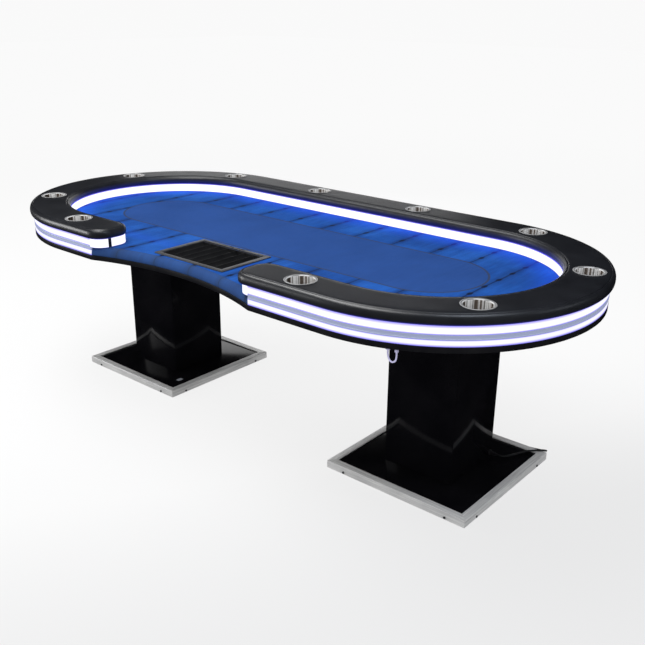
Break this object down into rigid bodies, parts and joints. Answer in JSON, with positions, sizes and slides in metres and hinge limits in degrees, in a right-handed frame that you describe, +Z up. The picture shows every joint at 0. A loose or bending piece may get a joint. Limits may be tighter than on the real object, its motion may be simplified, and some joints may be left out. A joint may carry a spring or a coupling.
{
  "type": "poker table",
  "caption": "Oval casino poker table with a padded armrest, lit edge bands, blue playing cloth, dealer cut-out with chip tray, lift-out cup holders and two square pedestals",
  "frame": {"origin": "on the floor, under the middle of the table top", "axes": "+X along the table's length to the player's right as seen from the dealer, +Y from the dealer's side to the far side, +Z up"},
  "size_m": [2.388, 1.118, 0.7635],
  "materials": {
    "rail_vinyl": "black grained vinyl, satin",
    "plywood": "raw plywood, matt",
    "playing_cloth": "blue woven speed cloth with a printed pattern, matt",
    "bolster_cloth": "the same blue cloth drawn over a soft roll",
    "deck_black": "black stained board, satin",
    "edge_trim": "black plastic edging, satin",
    "led_diffuser": "milk-white light diffuser, lit from behind",
    "channel_grey": "satin anodised channel",
    "led_strip": "white flexible circuit strip",
    "joint_black": "black joint strip",
    "cup_steel": "polished stainless steel",
    "tray_metal": "grey powder coat, satin",
    "tray_plastic": "black moulded plastic, satin",
    "gloss_black": "black high-gloss laminate",
    "brushed_frame": "brushed across the rail, satin",
    "rubber_black": "black rubber sheet, matt",
    "plate_steel": "plain mill steel",
    "driver_plastic": "black moulded case, matt",
    "lead_white": "off-white cable sheath, satin",
    "cord_black": "black PVC cable sheath, satin"
  },
  "bodies": {
    "table": {"rail_pad": "rail_vinyl", "rail_core": "plywood", "rail_wall_outer_left": "plywood", "rail_wall_outer_right": "plywood", "rail_wall_inner_left": "plywood", "rail_wall_inner_right": "plywood", "board_spacers": "plywood", "field_board": "plywood", "base_core_left": "plywood", "base_core_right": "plywood", "column_top_block_left": "plywood", "column_top_block_right": "plywood", "column_foot_block_left": "plywood", "column_foot_block_right": "plywood", "field_cloth": "playing_cloth", "dealer_bolster": "bolster_cloth", "deck_board": "deck_black", "deck_edge_trim": "edge_trim", "led_band_lower": "led_diffuser", "led_band_upper": "led_diffuser", "led_riser": "led_diffuser", "led_riser_end_left": "led_diffuser", "led_riser_end_right": "led_diffuser", "skirt_channel": "channel_grey", "led_strip_lower": "led_strip", "led_strip_upper": "led_strip", "led_strip_riser": "led_strip", "joint_strip_left": "joint_black", "joint_strip_right": "joint_black", "tray_frame": "tray_metal", "column_left": "gloss_black", "column_right": "gloss_black", "base_panel_left": "gloss_black", "base_panel_right": "gloss_black", "base_frame_left": "brushed_frame", "base_frame_right": "brushed_frame", "base_pad_left": "rubber_black", "base_pad_right": "rubber_black", "top_plate_left": "plate_steel", "top_plate_right": "plate_steel", "led_driver": "driver_plastic", "led_connector": "lead_white", "led_lead_clip": "lead_white", "led_lead": "lead_white", "strain_relief": "cord_black", "mains_cord": "cord_black", "mains_cord_coil": "cord_black", "cord_tie": "cord_black", "mains_plug": "cord_black"},
    "cup_01": {"cup_holder_01": "cup_steel"},
    "cup_02": {"cup_holder_02": "cup_steel"},
    "cup_03": {"cup_holder_03": "cup_steel"},
    "cup_04": {"cup_holder_04": "cup_steel"},
    "cup_05": {"cup_holder_05": "cup_steel"},
    "cup_06": {"cup_holder_06": "cup_steel"},
    "cup_07": {"cup_holder_07": "cup_steel"},
    "cup_08": {"cup_holder_08": "cup_steel"},
    "cup_09": {"cup_holder_09": "cup_steel"},
    "cup_10": {"cup_holder_10": "cup_steel"},
    "tray_insert": {"chip_tray": "tray_plastic"}
  },
  "joints": [
    {"name": "cup_01_lift", "type": "slide", "parent": "table", "child": "cup_01", "axis": [0, 0, 1], "range_m": [0, 0.09]},
    {"name": "cup_02_lift", "type": "slide", "parent": "table", "child": "cup_02", "axis": [0, 0, 1], "range_m": [0, 0.09]},
    {"name": "cup_03_lift", "type": "slide", "parent": "table", "child": "cup_03", "axis": [0, 0, 1], "range_m": [0, 0.09]},
    {"name": "cup_04_lift", "type": "slide", "parent": "table", "child": "cup_04", "axis": [0, 0, 1], "range_m": [0, 0.09]},
    {"name": "cup_05_lift", "type": "slide", "parent": "table", "child": "cup_05", "axis": [0, 0, 1], "range_m": [0, 0.09]},
    {"name": "cup_06_lift", "type": "slide", "parent": "table", "child": "cup_06", "axis": [0, 0, 1], "range_m": [0, 0.09]},
    {"name": "cup_07_lift", "type": "slide", "parent": "table", "child": "cup_07", "axis": [0, 0, 1], "range_m": [0, 0.09]},
    {"name": "cup_08_lift", "type": "slide", "parent": "table", "child": "cup_08", "axis": [0, 0, 1], "range_m": [0, 0.09]},
    {"name": "cup_09_lift", "type": "slide", "parent": "table", "child": "cup_09", "axis": [0, 0, 1], "range_m": [0, 0.09]},
    {"name": "cup_10_lift", "type": "slide", "parent": "table", "child": "cup_10", "axis": [0, 0, 1], "range_m": [0, 0.09]},
    {"name": "chip_tray_lift", "type": "slide", "parent": "table", "child": "tray_insert", "axis": [0, 0, 1], "range_m": [0, 0.06]}
  ]
}
